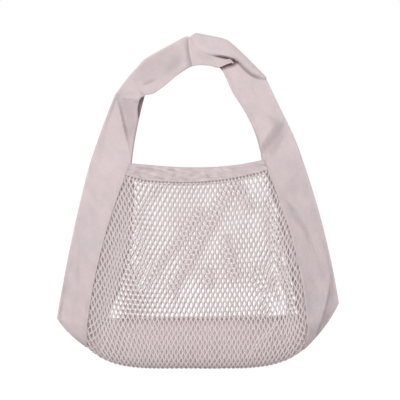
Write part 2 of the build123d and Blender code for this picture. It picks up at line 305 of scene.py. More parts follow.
def wovenCotton(name, finish):
    material, tree, shader = startMaterial(name)
    uv = addNode(tree, "ShaderNodeUVMap", uv_map="weave").outputs["UV"]
    place = addNode(tree, "ShaderNodeTexCoord").outputs["Object"]
    threads = stretched(tree, uv, (1000 / finish["thread"],) * 3)
    # warp over weft on one square of the board, weft over warp on the next
    board = addNode(tree, "ShaderNodeTexChecker", {"Vector": threads, "Scale": 1.0,
                    "Color1": (0, 0, 0, 1), "Color2": (1, 1, 1, 1)}).outputs["Fac"]
    warp, weft = [addNode(tree, "ShaderNodeTexWave", {"Vector": threads, "Scale": 0.3142,
                          "Phase Offset": -1.5708, "Distortion": 0.0}, wave_type="BANDS",
                          bands_direction=way, wave_profile="SIN").outputs["Fac"] for way in "XY"]
    relief = result(tree, "ShaderNodeMix", {0: board, 2: warp, 3: weft}, data_type="FLOAT")
    # slubs: thicker places that run along the threads both ways
    alongWarp, alongWeft = [cloud(tree, stretched(tree, uv, scale), 1.0, 2.0)
                            for scale in ((1500, 90, 1), (90, 1500, 1))]
    slubs = calc(tree, "ADD", alongWarp, alongWeft)
    patches = cloud(tree, place, finish["patchScale"], 3.0, Roughness=0.55)
    base = dyed(tree, ranged(tree, patches, 0.3, 0.7, 0.0, 1.0), finish)
    streak, dip = ranged(tree, slubs, 0.7, 1.3, -0.05, 0.05), ranged(tree, relief, 0.0, 1.0, -0.05, 0.02)
    value = calc(tree, "ADD", streak, dip)
    value = calc(tree, "ADD", value, calc(tree, "MULTIPLY", attribute(tree, "wear"), finish["wear"]))
    value = calc(tree, "ADD", value, 1.0)
    # painted shade: an ambient occlusion node darkens the colour in narrow gaps between layers
    crevice = addNode(tree, "ShaderNodeAmbientOcclusion", {"Distance": 0.009}, samples=6, only_local=True)
    value = calc(tree, "MULTIPLY", value, ranged(tree, crevice.outputs["AO"], 0.15, 0.85, 0.35, 1.0))
    # painted shade, only on faces turned to the front: darker above 0, paler below 0
    normal = addNode(tree, "ShaderNodeNewGeometry").outputs["True Normal"]
    facing = addNode(tree, "ShaderNodeSeparateXYZ", {0: normal}).outputs["Y"]
    painted = calc(tree, "MULTIPLY", attribute(tree, "shade"), calc(tree, "LESS_THAN", facing, 0.0))
    lit = ranged(tree, painted, -1.0, 1.0, 1.9, 0.1)
    value = calc(tree, "MULTIPLY", value, lit)
    # deep painted shade is warmer in colour than cloth in the light
    warmth = ranged(tree, lit, 0.75, 0.1, 1.0, 3.4)
    tinted = result(tree, "ShaderNodeHueSaturation", {"Value": value, "Color": base, "Saturation": warmth})
    # the cloth is softly crumpled, about 9 mm across
    crumple = cloud(tree, place, 110.0, 3.0, Roughness=0.6, Distortion=0.4)
    soft = result(tree, "ShaderNodeBump", {"Height": crumple, "Distance": 0.0012,
                  "Strength": finish["crumple"]})
    bump = result(tree, "ShaderNodeBump", {"Height": calc(tree, "ADD", relief, slubs), "Distance": 0.00012,
                  "Strength": finish["relief"], "Normal": soft})
    rough = ranged(tree, slubs, 0.7, 1.3, 0.84, 0.95)
    setInputs(tree, shader, {"Base Color": tinted, "Normal": bump, "Roughness": rough, "Sheen Weight": 0.12,
                             "Sheen Roughness": 0.5, "IOR": 1.47, "Specular IOR Level": 0.25})
    return material


def spunCotton(name, finish):
    material, tree, shader = startMaterial(name)
    place = addNode(tree, "ShaderNodeTexCoord").outputs["Object"]
    # plies wind round the cord once in each lay length
    lay = calc(tree, "MULTIPLY", attribute(tree, "along"), 6283.2 / finish["lay"])
    turn = calc(tree, "MULTIPLY", attribute(tree, "around"), 6.2832 * finish["plies"])
    ply = calc(tree, "SINE", calc(tree, "ADD", lay, turn))
    grain = calc(tree, "ADD", ply, cloud(tree, place, 1400.0, 2.0))
    # painted shade from the shade attribute darkens the cords, and below 0 makes them paler
    value = calc(tree, "SUBTRACT", ranged(tree, grain, -0.8, 1.8, 0.93, 1.05), attribute(tree, "shade"))
    base = dyed(tree, cloud(tree, place, 38.0, 2.0), finish)
    tinted = result(tree, "ShaderNodeHueSaturation", {"Value": value, "Color": base})
    bump = result(tree, "ShaderNodeBump", {"Height": grain, "Distance": 0.0001, "Strength": 0.6})
    setInputs(tree, shader, {"Base Color": tinted, "Normal": bump, "Roughness": 0.92,
                             "Sheen Weight": 0.1, "IOR": 1.47, "Specular IOR Level": 0.2})
    return material


# Plain-weave cotton, dusty lilac: matt, with faint slubs and soft uneven colour.
# Its threads are drawn 0.9 mm apart, wider than they are likely to be, so that they show.
panelCotton = wovenCotton("plainWeaveCottonPanel", {
    "cool": 0xCFC2C4, "warm": 0xD7C6C8, "thread": 0.9, "patchScale": 26.0, "relief": 0.35, "wear": 0.04,
    "crumple": 1.0})
# The same cloth for the mouth binding, a touch darker.
bandCotton = wovenCotton("plainWeaveCottonBinding", {
    "cool": 0xCBBEC0, "warm": 0xD5C5C6, "thread": 0.9, "patchScale": 40.0, "relief": 0.35, "wear": 0.05,
    "crumple": 1.0})
# Tape over the raw edges inside: coarser threads, darker again, hardly crumpled.
tapeCotton = wovenCotton("twillCottonTape", {
    "cool": 0xC9BDBF, "warm": 0xCFC0C2, "thread": 1.1, "patchScale": 60.0, "relief": 0.5, "wear": 0.0,
    "crumple": 0.3})
# Knotless netting of soft two-ply cotton cord: fuzzy, matt, and paler than the woven cloth.
netCotton = spunCotton("softSpunCottonCord", {"cool": 0xDED2D3, "warm": 0xE3D5D6, "lay": 3.2, "plies": 2})
# Sewing thread of three plies, wound twice as tightly as the cord, and darker.
sewingThread = spunCotton("twistedCottonThread", {"cool": 0xCDBFC1, "warm": 0xD2C2C4, "lay": 1.6, "plies": 3})
print("materials ready")


# Camera, light and floor.

view = {"aimX": 3.3, "aimZ": 275.6, "distance": 1833.0, "lens": 100.0}
cameraData = bpy.data.cameras.new("camera")
cameraData.lens, cameraData.sensor_width = view["lens"], 36.0
camera = addObject("camera", cameraData)
camera.location = Vector((view["aimX"], -view["distance"], view["aimZ"])) * 0.001
camera.rotation_euler = (math.radians(90), 0, 0)
bpy.context.scene.camera = camera

lamps = {
    # name: place, size, power in watts
    "keyLamp": ((-620, -1650, 1450), 0.6, 16.0),
    "frontLamp": ((3, -1870, 300), 0.08, 10.5),
    "rearLamp": ((500, 1700, 900), 1.2, 9.0),
    "topLamp": ((0, 300, 1700), 1.2, 4.0),
}
for name, (place, size, power) in lamps.items():
    lamp = bpy.data.lights.new(name, "AREA")
    lamp.shape, lamp.size, lamp.energy = "DISK", size, power
    holder = addObject(name, lamp)
    holder.location = Vector(place) * 0.001
    holder.rotation_euler = (Vector((0, 0, 0.28)) - holder.location).to_track_quat("-Z", "Y").to_euler()

world = bpy.data.worlds.new("softStudio")
bpy.context.scene.world = world
world.use_nodes = True
sky = world.node_tree
# white where the camera sees it, and a dimmer light on the bag
rays = addNode(sky, "ShaderNodeLightPath").outputs
seen = calc(sky, "MAXIMUM", rays["Is Camera Ray"], rays["Is Glossy Ray"])
seen = calc(sky, "MAXIMUM", seen, rays["Is Transmission Ray"])
level = result(sky, "ShaderNodeMix", {0: seen, 2: 0.3, 3: 1.0}, data_type="FLOAT")
setInputs(sky, sky.nodes["Background"], {"Strength": level, "Color": (1, 1, 1, 1)})

floorMaterial, floorTree, floorShader = startMaterial("whiteFloor")
setInputs(floorTree, floorShader, {"Base Color": (0.9, 0.9, 0.9, 1), "Roughness": 1.0,
                                   "Specular IOR Level": 0.0})
floorRays = addNode(floorTree, "ShaderNodeLightPath").outputs
glow = result(floorTree, "ShaderNodeEmission", {"Strength": 1.15})
share = calc(floorTree, "MULTIPLY", floorRays["Is Camera Ray"], 0.85)
lifted = result(floorTree, "ShaderNodeMixShader", {0: share, 1: floorShader.outputs[0], 2: glow})
setInputs(floorTree, floorTree.nodes["Material Output"], {"Surface": lifted})
floor = makeMesh("floor", [(-6000, -6000, -1), (6000, -6000, -1), (6000, 6000, -1), (-6000, 6000, -1)],
                 [(0, 1, 2, 3)], floorMaterial)
print("camera, lamps and floor ready")


# How near a point is to a line: gap, share of the way along it, its length, and above 0 on its left.
def measure(x, z, a, b):
    dx, dz = b[0] - a[0], b[1] - a[1]
    length = math.hypot(dx, dz)
    t = min(1, max(0, ((x - a[0]) * dx + (z - a[1]) * dz) / length**2))
    return math.hypot(x - a[0] - dx * t, z - a[1] - dz * t), t, length, dx * (z - a[1]) - dz * (x - a[0])


# Creases are tents pushed up along a line, with a flank on each side.
def creaseLift(x, z, creases):
    total = 0.0
    for points, toLeft, toRight, lift, power, (fadeIn, fadeOut) in creases:
        whole = sum(math.dist(a, b) for a, b in zip(points, points[1:]))
        passed, nearest = 0.0, None
        for a, b in zip(points, points[1:]):
            gap, t, length, turn = measure(x, z, a, b)
            if nearest is None or gap < nearest[0]:
                nearest = (gap, (passed + t * length) / whole, turn)
            passed += length
        gap, t, turn = nearest
        reach = toLeft if turn > 0 else toRight
        if gap < reach:
            starts = smooth((t + 1e-6) / fadeIn if fadeIn else 1)
            ends = smooth((1 - t + 1e-6) / fadeOut if fadeOut else 1)
            total += lift * (1 - gap / reach) ** power * (starts * ends)
    return total


def shadeNear(x, z, shades):
    total = 0.0
    for points, above, below, depth in shades:
        whole, most = len(points) - 1, 0.0
        for i, (a, b) in enumerate(zip(points, points[1:])):
            gap, t, _, turn = measure(x, z, a, b)
            along = (i + t) / whole
            taper = smooth(min(along, 1 - along) / 0.35)
            reach = (above if turn > 0 else below) * mix(0.45, 1, taper)
            most = max(most, (1 - smooth(gap / reach)) * mix(0.1, 1, taper))
        total += depth * most
    return min(1.0, total)


def ripple(x, z, seed, fine=0.9, broad=1.6):
    return (broad * noise.noise(Vector((x / 70, z / 70, seed)))
            + fine * noise.noise(Vector((x / 22, z / 30, seed + 7))))


netting = {
    "pitch": 7.8,            # width of a cell
    "row": 7.74,             # half its height
    "radius": 1.30,          # half the width of one cord
    "flatness": 0.6,         # its depth over its width
    "joint": 0.16,           # share of a row over which neighbouring cords lie together
    "hug": 0.62,             # half the distance between their centre lines there, in radii
    "binding": 1.7,          # size of the knitted joint
    "tuck": 4.0,             # how far the cords run under the cloth at the seams
    "gather": 9.0,           # how far the netting is drawn in beside each seam
    "pressed": (0.2, 0.36),  # how much fuller the cords are over the base and over the side panels
    "dim": (0.02, 0.12),     # and how much painted shade darkens them there
    "paler": -0.28,          # painted light (a shade below 0) on the cloth behind the netting, which the lamps hardly reach
    "selvedge": 4.3,         # how far below the band's edge the first cord runs, along the whole mouth
    "stub": 5.8,             # distance between the short cords that hold it to the band
}


# Woven strips: side panel and strap in one, folded along the outer edge.

leftStrip = {
    "name": "leftSideAndStrap", "seed": 3.0, "radius": 1.7, "hem": 6.0,
    "outer": [(-137, 449), (-115.5, 477.7), (-88.1, 508.2), (-54.5, 527.2), (-20.8, 545.3), (-11.9, 545.2),
              (-5, 550.1), (21.5, 544.5), (39.6, 539.9), (57.8, 526.4), (65.2, 518.1), (68.5, 509.9)],
    "inner": [(-87.5, 449), (-73.4, 451.3), (-56.1, 463.7), (-36.3, 480.2), (-16.5, 493.7), (-5, 497.6),
              (6.6, 498.6), (21.5, 496.7), (31.4, 493.4), (37.1, 494.3), (49.5, 499.6), (62.7, 502.9)],
    "depth": [0, 0, 0, 0, 0, 0, 0, -2.8, -5.2, -5.8, -5.8, -5.8],
    "creases": [             # line, reach to its left and right, lift, power, fades at its two ends
        ([(-136.5, 449), (-125.4, 411), (-110, 358)], 34, 34, 14, 1.1, (0.1, 0.5)),
        ([(-134.8, 449), (-123.4, 411), (-107, 354)], 7, 2.2, -2.4, 1.2, (0, 0.4)),
        ([(-136, 451), (-120.5, 442.6), (-99.8, 440.5), (-88.5, 445.7)], 24, 5, 6, 1.2, (0.05, 0.1)),
        ([(-94, 464), (-80, 470), (-66, 476)], 6, 14, -1.6, 1.3, (0.35, 0.5)),
        ([(-18.2, 545), (-20.5, 496.7)], 18, 16, 4.5, 1.1, (0, 0)),
        ([(-15.5, 545), (-12, 523), (-6.5, 497.5)], 10, 13, -5.5, 1.1, (0, 0)),
        ([(20, 513), (38, 510), (64, 502)], 4, 12, -1.6, 1.3, (0.6, 0)),
        ([(-220.3, 112), (-224.4, 91), (-222.8, 72)], 22, 7, 2.2, 2, (0.3, 0.3)),
        ([(-203, 36), (-170, 12)], 14, 14, -3.0, 2, (0.3, 0.3)),
        ([(-150, 300), (-165, 255)], 16, 16, -1.2, 2, (0.5, 0.5)),
        ([(-188, 190), (-205, 150)], 14, 18, -1.2, 2, (0.5, 0.5)),
    ],
    "edgeSlip": 6.0,         # how far the front layer's free edge is drawn back under the strap's bend
    # painted shade, and painted light where the depth is below 0: line, width above it and below it, depth;
    # for a line that goes down, above is the +X side
    "shade": [
        ([(18, 514.5), (29, 513), (46, 509.3), (62, 502.8), (72, 497)], 5, 3.7, 1.2),
        ([(-19, 556), (-16.8, 531), (-12.4, 507), (-8, 480)], 9, 8, 0.24),
        ([(-137, 462), (-126.5, 420), (-119.5, 386.6), (-110, 346)], 5, 1.8, 0.25),
        ([(-137, 462), (-126.5, 420), (-119.5, 386.6), (-110, 346)], 48, 0.5, 0.2),
        ([(-133, 449.5), (-120.5, 442.6), (-99.8, 440.5), (-90, 445)], 16, 0.5, -0.12),
        ([(-133, 449.5), (-120.5, 442.6), (-99.8, 440.5), (-90, 445)], 0.5, 6, 0.06),
        ([(-94, 464), (-80.8, 468.6), (-66, 476)], 6, 2.5, 0.2),
        ([(-94, 463), (-80.8, 467.6), (-66, 475)], 0.5, 12, -0.06),
        ([(-62, 478), (-40, 497), (-24, 520)], 16, 12, 0.12),
        ([(-130, 470), (-70, 500), (-10, 530)], 45, 45, 0.14),
        ([(-8, 518), (10, 514), (26, 508)], 12, 14, 0.12),
        ([(-146, 440), (-163, 330)], 8, 22, 0.08),
        ([(-194.7, 215), (-197, 165), (-199, 110)], 6, 5, 0.06),
        ([(-216, 170), (-226, 110), (-229, 75)], 7, 9, 0.13),
    ],
}
rightStrip = {
    "name": "rightSideAndStrap", "seed": 9.0, "radius": 1.7, "hem": 6.0,
    "outer": [(125, 449), (118.6, 462.8), (112.4, 475.2), (97, 488.2), (80.5, 502), (66, 509.5)],
    "inner": [(59.5, 449), (52.1, 463.7), (45.9, 478.5), (40.1, 489.2), (33.8, 495.3), (25.6, 498.3)],
    "depth": [0, 0, 0, 0, 0, 0],
    "creases": [             # line, reach to its left and right, lift, power, fades at its two ends
        ([(133, 410), (112, 380), (97, 356)], 27, 30, 10, 1.4, (0.3, 0.1)),
        ([(150, 398), (136, 366), (122, 340)], 22, 12, -2.5, 1.3, (0.3, 0.3)),
        ([(66, 455), (84, 460), (98, 452)], 8, 10, -1.6, 2, (0.3, 0.3)),
        ([(84, 418), (104, 421)], 5, 6, -1.2, 2, (0.3, 0.4)),
        ([(140.3, 286), (176.6, 226), (184.8, 209.6), (201.3, 173)], 16, 12, -2.2, 2, (0.3, 0.4)),
        ([(213, 175), (216.2, 156.8), (214.5, 122), (201.3, 66)], 13, 30, 5.5, 2, (0.35, 0.15)),
        ([(216.2, 157), (215.5, 122), (202.3, 66)], 3, 2.5, -1.5, 2, (0.3, 0.2)),
        ([(196, 40), (160, 14)], 12, 12, -2.0, 2, (0.3, 0.3)),
        ([(95, 440), (128, 405)], 18, 18, -1.3, 2, (0.5, 0.5)),
    ],
    "edgeSlip": 0.0,
    # painted shade: line, width above it and below it, depth; for a line that goes down, above is the +X side
    "shade": [([(126, 288), (145.5, 273.6), (162, 256.6), (174, 235), (185.6, 211), (199, 168)], 4, 10, 0.13),
              ([(217, 155), (215, 124), (206.5, 94), (196, 58), (190, 36)], 5, 3, 0.3),
              ([(150, 416), (127, 382), (98, 347)], 7, 14, 0.2),
              ([(50, 515), (82, 485.6), (97.4, 476.9), (116, 473)], 8, 4.5, 0.36),
              ([(22, 489), (45, 499), (72, 505)], 5, 10.5, 0.95)],
}
stripRows = {"lower": 120, "upper": 42, "arch": 100, "columns": 28, "turn": 8}


def stripSections(side, strip):
    sections = []
    lower, upper, top = stripRows["lower"], stripRows["upper"], stripRows["arch"]
    thick = Vector((0, -1, 0))
    for i in range(lower):
        v = 1 - i / lower
        a, b = frontSeam(side, v), rearSeam(side, v)
        height = mix(a.z, b.z, -a.y / (b.y - a.y))
        fold = Vector((side["sign"] * across(side["fold"], height), 0, height))
        sections.append((a, fold, b, Vector((side["sign"], 0, 0)), (a - b).normalized()))
    for i in range(upper):
        z = mix(side["mouth"], bag["foldHeight"], i / upper)
        fromFold = (bag["foldHeight"] - z) / (bag["foldHeight"] - side["mouth"])
        y = mix(strip["radius"], bag["mouthDepth"] / 2, fromFold)
        x = side["sign"] * across(side["front"], z)
        fold = Vector((side["sign"] * across(side["fold"], z), 0, z))
        sections.append((Vector((x, -y, z)), fold, Vector((x, y, z)), Vector((side["sign"], 0, 0)), thick))
    for i in range(top + 1):
        t = i / top
        ox, oz = spline(strip["outer"], t, 0.8)
        ix, iz = spline(strip["inner"], t, 0.6)
        y = spline([(d, 0) for d in strip["depth"]], t).x
        outward = Vector((ox - ix, 0, oz - iz)).normalized()
        sections.append((Vector((ix, y - strip["radius"], iz)), Vector((ox, y, oz)),
                         Vector((ix, y + strip["radius"], iz)), outward, thick))
    return sections


def stripGrid(side, strip):
    columns, turns, r = stripRows["columns"], stripRows["turn"], strip["radius"]
    grid, weave, wear, shade = [], [], [], []
    run, before = 0.0, None
    for a, fold, b, outward, thick in stripSections(side, strip):
        if before is not None:
            run += (((a + fold) / 2) - before).length
        before = (a + fold) / 2
        slip = strip["edgeSlip"] * smooth((a.z - 404) / 28) * smooth((449 - a.z) / 9)
        centre = fold - outward * r
        a = a + (centre - a).normalized() * slip
        row, sheetWidth = [], (centre + thick * r - a).length
        distances = []
        for j in range(columns):
            t = j / columns
            row.append((a.lerp(centre + thick * r, t), -1, t))
            distances.append(-sheetWidth * (1 - t))
        for j in range(turns + 1):
            turn = math.pi * (0.5 - j / turns)
            row.append((centre + outward * (r * math.cos(turn)) + thick * (r * math.sin(turn)), 0, 1))
            distances.append(r * (math.pi / 2 - turn))
        for j in range(1, columns + 1):
            t = j / columns
            row.append(((centre - thick * r).lerp(b, t), 1, 1 - t))
            distances.append(r * math.pi + sheetWidth * t)
        line = []
        for (p, face, t), d in zip(row, distances):
            fromEdge = t * sheetWidth
            near = smooth((1 - t) * sheetWidth / 6)
            edge = smooth(fromEdge / 10)
            if face:
                depth, seed = (1, strip["seed"]) if face < 0 else (0.55, strip["seed"] + 40)
                lift = depth * creaseLift(p.x, p.z, strip["creases"]) * near
                lift += ripple(p.x, p.z, seed) * near * mix(0.35, 1, edge)
                lift += 0.55 * (1 - smooth((fromEdge - strip["hem"]) / 0.8 + 0.5))
                p = p - thick * (lift * face)
            line.append(p)
            weave.append((d, run))
            wear.append(max(0.0, 1 - (1 - t) * sheetWidth / 5) + max(0.0, 0.6 - fromEdge / 4))
            # painted shade of folds and soft streaks on the front, a little darker below the mouth; painted
            # light on the rear behind the netting; painted shade inside the open fold
            if face < 0:
                spot = Vector(((p.x + 0.4 * p.z) / 13, (p.z - 0.3 * p.x) / 26, strip["seed"] + 20))
                streakShade = mix(0.03, 0.08, smooth((330 - p.z) / 40))
                shade.append(shadeNear(p.x, p.z, strip["shade"]) + streakShade * noise.noise(spot)
                             + 0.02 * (p.z < 330))
            elif p.z < side["mouth"]:
                shade.append(face * netting["paler"])
            else:
                shade.append(face * 0.58 * smooth(slip / 2) * smooth((22 - fromEdge) / 8))
        grid.append(line)
    return grid, weave, wear, shade


grids = {}
for side, strip, nodes in ((left, leftStrip, ("side_panel_left", "strap_left")),
                           (right, rightStrip, ("side_panel_right", "strap_right"))):
    grid, weave, wear, shade = stripGrid(side, strip)
    grids[strip["name"]] = grid
    points = [p for row in grid for p in row]
    piece = makeMesh(strip["name"], points, gridFaces(len(grid), len(grid[0]), flip=side["sign"] < 0),
                     panelCotton, weave, wear, shade)
    strip["piece"] = thicken(piece, bag["cloth"])
    strip["nodes"] = nodes
    print(strip["name"], "has", len(piece.data.polygons), "faces")


# The lap: the end of the left length, rolled over the front of the right one.

lap = {
    "outer": [(-10.4, 546.2), (-2.5, 549.9), (11.6, 547), (26.4, 544), (39.6, 540.6), (49.5, 536.6),
              (62.7, 525.2), (77.6, 511.2), (92.4, 496.4), (104, 485), (112.4, 476.3)],
    "lower": [(-11.0, 543.5), (-5.5, 532), (4.5, 522), (18.8, 516), (33, 512.7), (47.9, 510.2),
              (63.5, 504), (75.1, 491.5), (87.5, 480.6), (99.8, 476.0), (111.3, 474.3)],
    "depth": [-2.0, -2.4, -3.4, -5.8, -8.4, -9.4, -8.8, -7.6, -6.4, -5.2, -3.4],
    "sunk": [1.6, 1.6, 1.6, 0.2, 0, 0, 0.3, 0.8, 1.4, 1.2, 0.8],     # the lower edge lies this much deeper
    "under": [0, 0, 0, 0, 0, 0.5, 2.5, 3.2, 3.2, 2.4, 1.0],          # and turns under by this much
    "roll": [0.2, 0.3, 0.6, 0.9, 1.0, 1.2, 1.8, 2.0, 1.8, 1.2, 0.6],
    "creases": [             # line, reach to its left and right, lift, power, fades at its two ends
        ([(4, 535), (22, 533)], 4, 5, -1.0, 2, (0.4, 0.4)),
        ([(14, 524), (40, 522)], 4, 5, -0.9, 2, (0.4, 0.4)),
        ([(46, 535), (60, 512)], 12, 12, 1.2, 2, (0.3, 0.3)),
        ([(70, 512), (98, 482)], 8, 8, -0.8, 2, (0.4, 0.4)),
    ],
}


def lapGrid():
    rows, columns, roll = 72, 22, 6
    points, weave, wear, shade = [], [], [], []
    for i in range(rows):
        t = i / (rows - 1)
        ox, oz = spline(lap["outer"], t, 0.8)
        lx, lz = spline(lap["lower"], t, 0.5)
        y = spline([(d, 0) for d in lap["depth"]], t).x
        r, sunk, under = (spline([(d, 0) for d in lap[key]], t).x for key in ("roll", "sunk", "under"))
        down = Vector((lx - ox, 0, lz - oz))
        width = down.length
        down.normalize()
        outer, lower = Vector((ox, y, oz)), Vector((lx, y, lz)) - down * r
        back = min(-0.4, y + 3.5)
        row = [Vector((ox, back + 1.6, oz)) + down * 1.5, Vector((ox, back + 0.4, oz)) + down * 0.2,
               Vector((ox, mix(y, back, 0.55), oz)) - down * 0.2]
        for j in range(columns + 1):
            s = j / columns
            p = outer.lerp(lower, s)
            p.y += -creaseLift(p.x, p.z, lap["creases"]) - 0.8 * math.sin(math.pi * s) + (1 - s) ** 6
            p.y += sunk * s**2 + under * max(0, (s - 0.6) / 0.4) ** 2
            row.append(p)
        for j in range(1, roll + 1):
            turn = math.pi * j / roll
            deeper = sunk + under + r * (1 - math.cos(turn))
            row.append(lower + down * (r * math.sin(turn)) + Vector((0, deeper, 0)))
        passed = 0.0
        for j, p in enumerate(row):
            passed += (p - row[j - 1]).length if j else 0
            points.append(p)
            weave.append((passed, t * 150))
            wear.append(max(0.0, 1 - abs(passed - width) / 4) * 0.8)
            # painted shade above the rolled edge towards the tip, and a painted dark line along it in the
            # middle
            fromRoll = (1 - (j - 3) / columns) * width
            low = 1 - smooth(fromRoll / 9)
            deep = (1 - smooth(fromRoll / 1.6)) * smooth((t - 0.3) / 0.14)
            broad = 0.42 * low**1.6 * smooth((t - 0.5) / 0.15) * mix(1, 0.1, smooth((t - 0.84) / 0.12))
            shade.append(broad + deep * mix(0.62, 0, smooth((t - 0.58) / 0.08)))
    return points, weave, wear, shade, rows, 3 + columns + 1 + roll


points, weave, wear, shade, rows, columns = lapGrid()
lapPiece = makeMesh("leftStrapLap", points, gridFaces(rows, columns, flip=True), panelCotton, weave, wear,
                    shade)
thicken(lapPiece, bag["cloth"] * 0.9)
print("strap lap ready")


# Places where the cells are drawn together along a line: ends, width and pull.
frontBunches = [((117, 64), (94, 36), 12, 1.8), ((76, 268), (54, 215), 16, 1.2),
                ((52, 250), (-30, 128), 18, 1.0), ((142, 160), (112, 128), 14, 1.4),
                ((-60, 300), (-110, 240), 14, 1.0)]
# Places where the back netting hangs out of step with the front: ends, width, and shift across and up.
rearDrift = [((50, 292), (-43, 132), 11, (2.6, 2.0)), ((0, 252), (-92, 136), 8, (2.4, 2.0)),
             ((44, 206), (56, 149), 10, (2.4, 1.2)), ((99, 149), (127, 89), 12, (2.6, -2.0)),
             ((132, 264), (149, 188), 14, (2.5, -1.5)), ((138, 168), (138, 152), 15, (2.6, -2.0)),
             ((-115, 226), (-104, 176), 13, (2.4, 2.0)), ((16, 152), (16, 136), 9, (2.0, 1.0)),
             ((62, 300), (84, 262), 11, (2.4, 1.0))]


def alongLine(x, z, a, b):
    gap, _, length, turn = measure(x, z, a, b)
    return math.copysign(gap, turn if turn else -1), ((a[1] - b[1]) / length, (b[0] - a[0]) / length)


def frontWarp(x, z):
    shiftX = 1.1 * noise.noise(Vector((x / 60, z / 60, 2.0)))
    shiftX += 0.35 * noise.noise(Vector((x / 14, z / 18, 5.0)))
    shiftZ = 0.9 * noise.noise(Vector((x / 60, z / 60, 12.0)))
    for a, b, width, pull in frontBunches:
        gap, normal = alongLine(x, z, a, b)
        amount = -pull * 2.2 * (gap / width) * math.exp(-(gap / width) ** 2)
        shiftX += amount * normal[0]
        shiftZ += amount * normal[1]
    low = smooth((75 - z) / 60)
    # cells lean along the lower corners
    shiftX += -math.copysign(1, x) * low * 9 * smooth((abs(x) - 40) / 100)
    return shiftX, shiftZ


def rearWarp(x, z):
    shiftX, shiftZ = frontWarp(x, z)
    # seen from in front the two layers keep step, then one leans away from the other, left and right
    shiftX -= x * mix(0.0165, -0.008, min(1, (320 - z) / 220))
    shiftZ += mix(0.9, -1.6, min(1, max(0, (190 - z) / 110)))
    lean = smooth((x + 60) / 170)
    shiftX += mix(1.1, 1.15, lean) + 0.7 * noise.noise(Vector((x / 45, z / 45, 31.0)))
    shiftZ += mix(-1.9, 1.9, lean) + 0.9 * noise.noise(Vector((x / 45, z / 45, 42.0)))
    for a, b, width, (dx, dz) in rearDrift:
        gap, _ = alongLine(x, z, a, b)
        share = math.exp(-(gap / width) ** 2)
        shiftX += dx * share
        shiftZ += dz * share
    return shiftX, shiftZ


